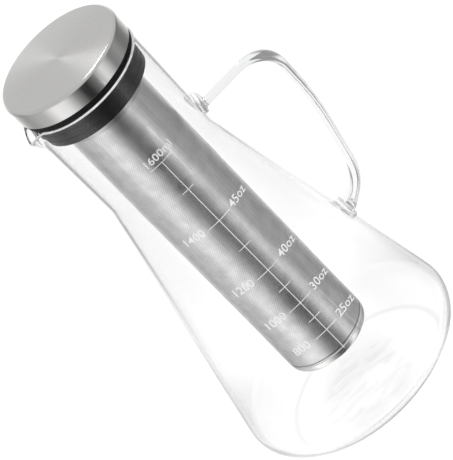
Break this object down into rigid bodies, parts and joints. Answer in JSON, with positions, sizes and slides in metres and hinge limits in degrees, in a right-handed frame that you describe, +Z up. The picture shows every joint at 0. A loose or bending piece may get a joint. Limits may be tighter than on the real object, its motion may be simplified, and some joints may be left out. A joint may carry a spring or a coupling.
{
  "type": "cold brew coffee maker",
  "caption": "Conical glass carafe with a bent glass strap handle and a pulled spout, a long steel mesh filter hung in its neck by a silicone collar, and a lift-off steel lid.",
  "frame": {"origin": "on the carafe's axis, at the flat underside that it stands on", "axes": "+Z up the carafe's axis, +X towards the handle, -X towards the spout, -Y towards the printed scale"},
  "size_m": [0.1419, 0.1248, 0.2465],
  "materials": {
    "carafe_glass": "clear polished borosilicate glass",
    "handle_glass": "clear polished borosilicate glass",
    "scale_print": "white enamel fired on the glass",
    "etched_steel": "stainless sheet etched with fine holes",
    "polished_steel": "polished stainless steel",
    "collar_steel": "turned stainless steel",
    "brushed_steel": "lathe-brushed stainless steel",
    "core_plastic": "black moulded plastic",
    "seal_silicone": "satin black silicone",
    "gasket_silicone": "satin black silicone",
    "ring_silicone": "satin black silicone"
  },
  "bodies": {
    "carafe": {"carafe_body": "carafe_glass", "handle": "handle_glass"},
    "filter": {"filter_sleeve": "etched_steel", "filter_base_cup": "polished_steel", "filter_collar": "collar_steel", "filter_seal": "seal_silicone"},
    "lid": {"lid_cap": "brushed_steel", "lid_core": "core_plastic", "lid_gasket": "gasket_silicone", "stopper_ring": "ring_silicone"}
  },
  "joints": [
    {"name": "filter_lift", "type": "slide", "parent": "carafe", "child": "filter", "axis": [0, 0, 1], "range_m": [0, 0.22]},
    {"name": "lid_lift", "type": "slide", "parent": "filter", "child": "lid", "axis": [0, 0, 1], "range_m": [0, 0.05]}
  ]
}
